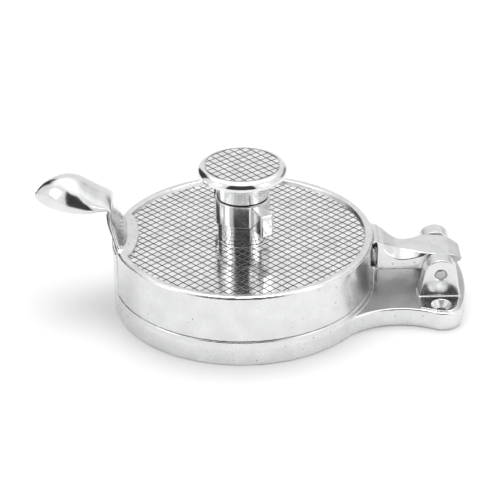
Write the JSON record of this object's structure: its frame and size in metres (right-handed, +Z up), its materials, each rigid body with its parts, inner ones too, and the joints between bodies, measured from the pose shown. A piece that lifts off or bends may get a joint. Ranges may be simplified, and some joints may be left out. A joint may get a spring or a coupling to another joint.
{
  "type": "patty press",
  "caption": "Cast hinged press that shapes ground meat into round patties: tray base, lid with thumb handle, palm knob with press plate, winged thickness ring.",
  "frame": {"origin": "centre of the round base's flat underside, which rests on the table", "axes": "+X towards the hinge and the tail, +Z up out of the table through the knob, +Y to complete the right hand"},
  "size_m": [0.2021, 0.1234, 0.0711],
  "materials": {
    "base_aluminium": "polished sides, as-cast dull tail",
    "lid_aluminium": "polished casting with a waffle field",
    "turned_aluminium": "bright polished",
    "plate_aluminium": "satin with a waffle underside",
    "steel": "ground steel",
    "washer_plastic": "matt black"
  },
  "bodies": {
    "base": {"base": "base_aluminium", "hinge_pin": "steel"},
    "lid": {"lid": "lid_aluminium"},
    "collar": {"thrust_washer": "washer_plastic"},
    "ring": {"stop_ring": "turned_aluminium"},
    "plunger": {"knob": "turned_aluminium", "plunger_stem": "steel", "press_plate": "plate_aluminium", "plate_screw": "steel"}
  },
  "joints": [
    {"name": "lid_hinge", "type": "hinge", "parent": "base", "child": "lid", "pos_m": [0.0923, 0, 0.0208], "axis": [0, 1, 0], "range_deg": [0, 95]},
    {"name": "stop_lift", "type": "slide", "parent": "lid", "child": "collar", "axis": [0, 0, 1], "range_m": [0, 0.007]},
    {"name": "stop_ring_turn", "type": "hinge", "parent": "collar", "child": "ring", "pos_m": [0, 0, 0.05], "axis": [0, 0, 1], "range_deg": [0, 90]},
    {"name": "plunger_slide", "type": "slide", "parent": "collar", "child": "plunger", "axis": [0, 0, 1], "range_m": [0, 0.0055]}
  ],
  "couplings": [
    {"joint": "stop_lift", "follows": "stop_ring_turn", "m_per_rad": 0.0044563}
  ]
}
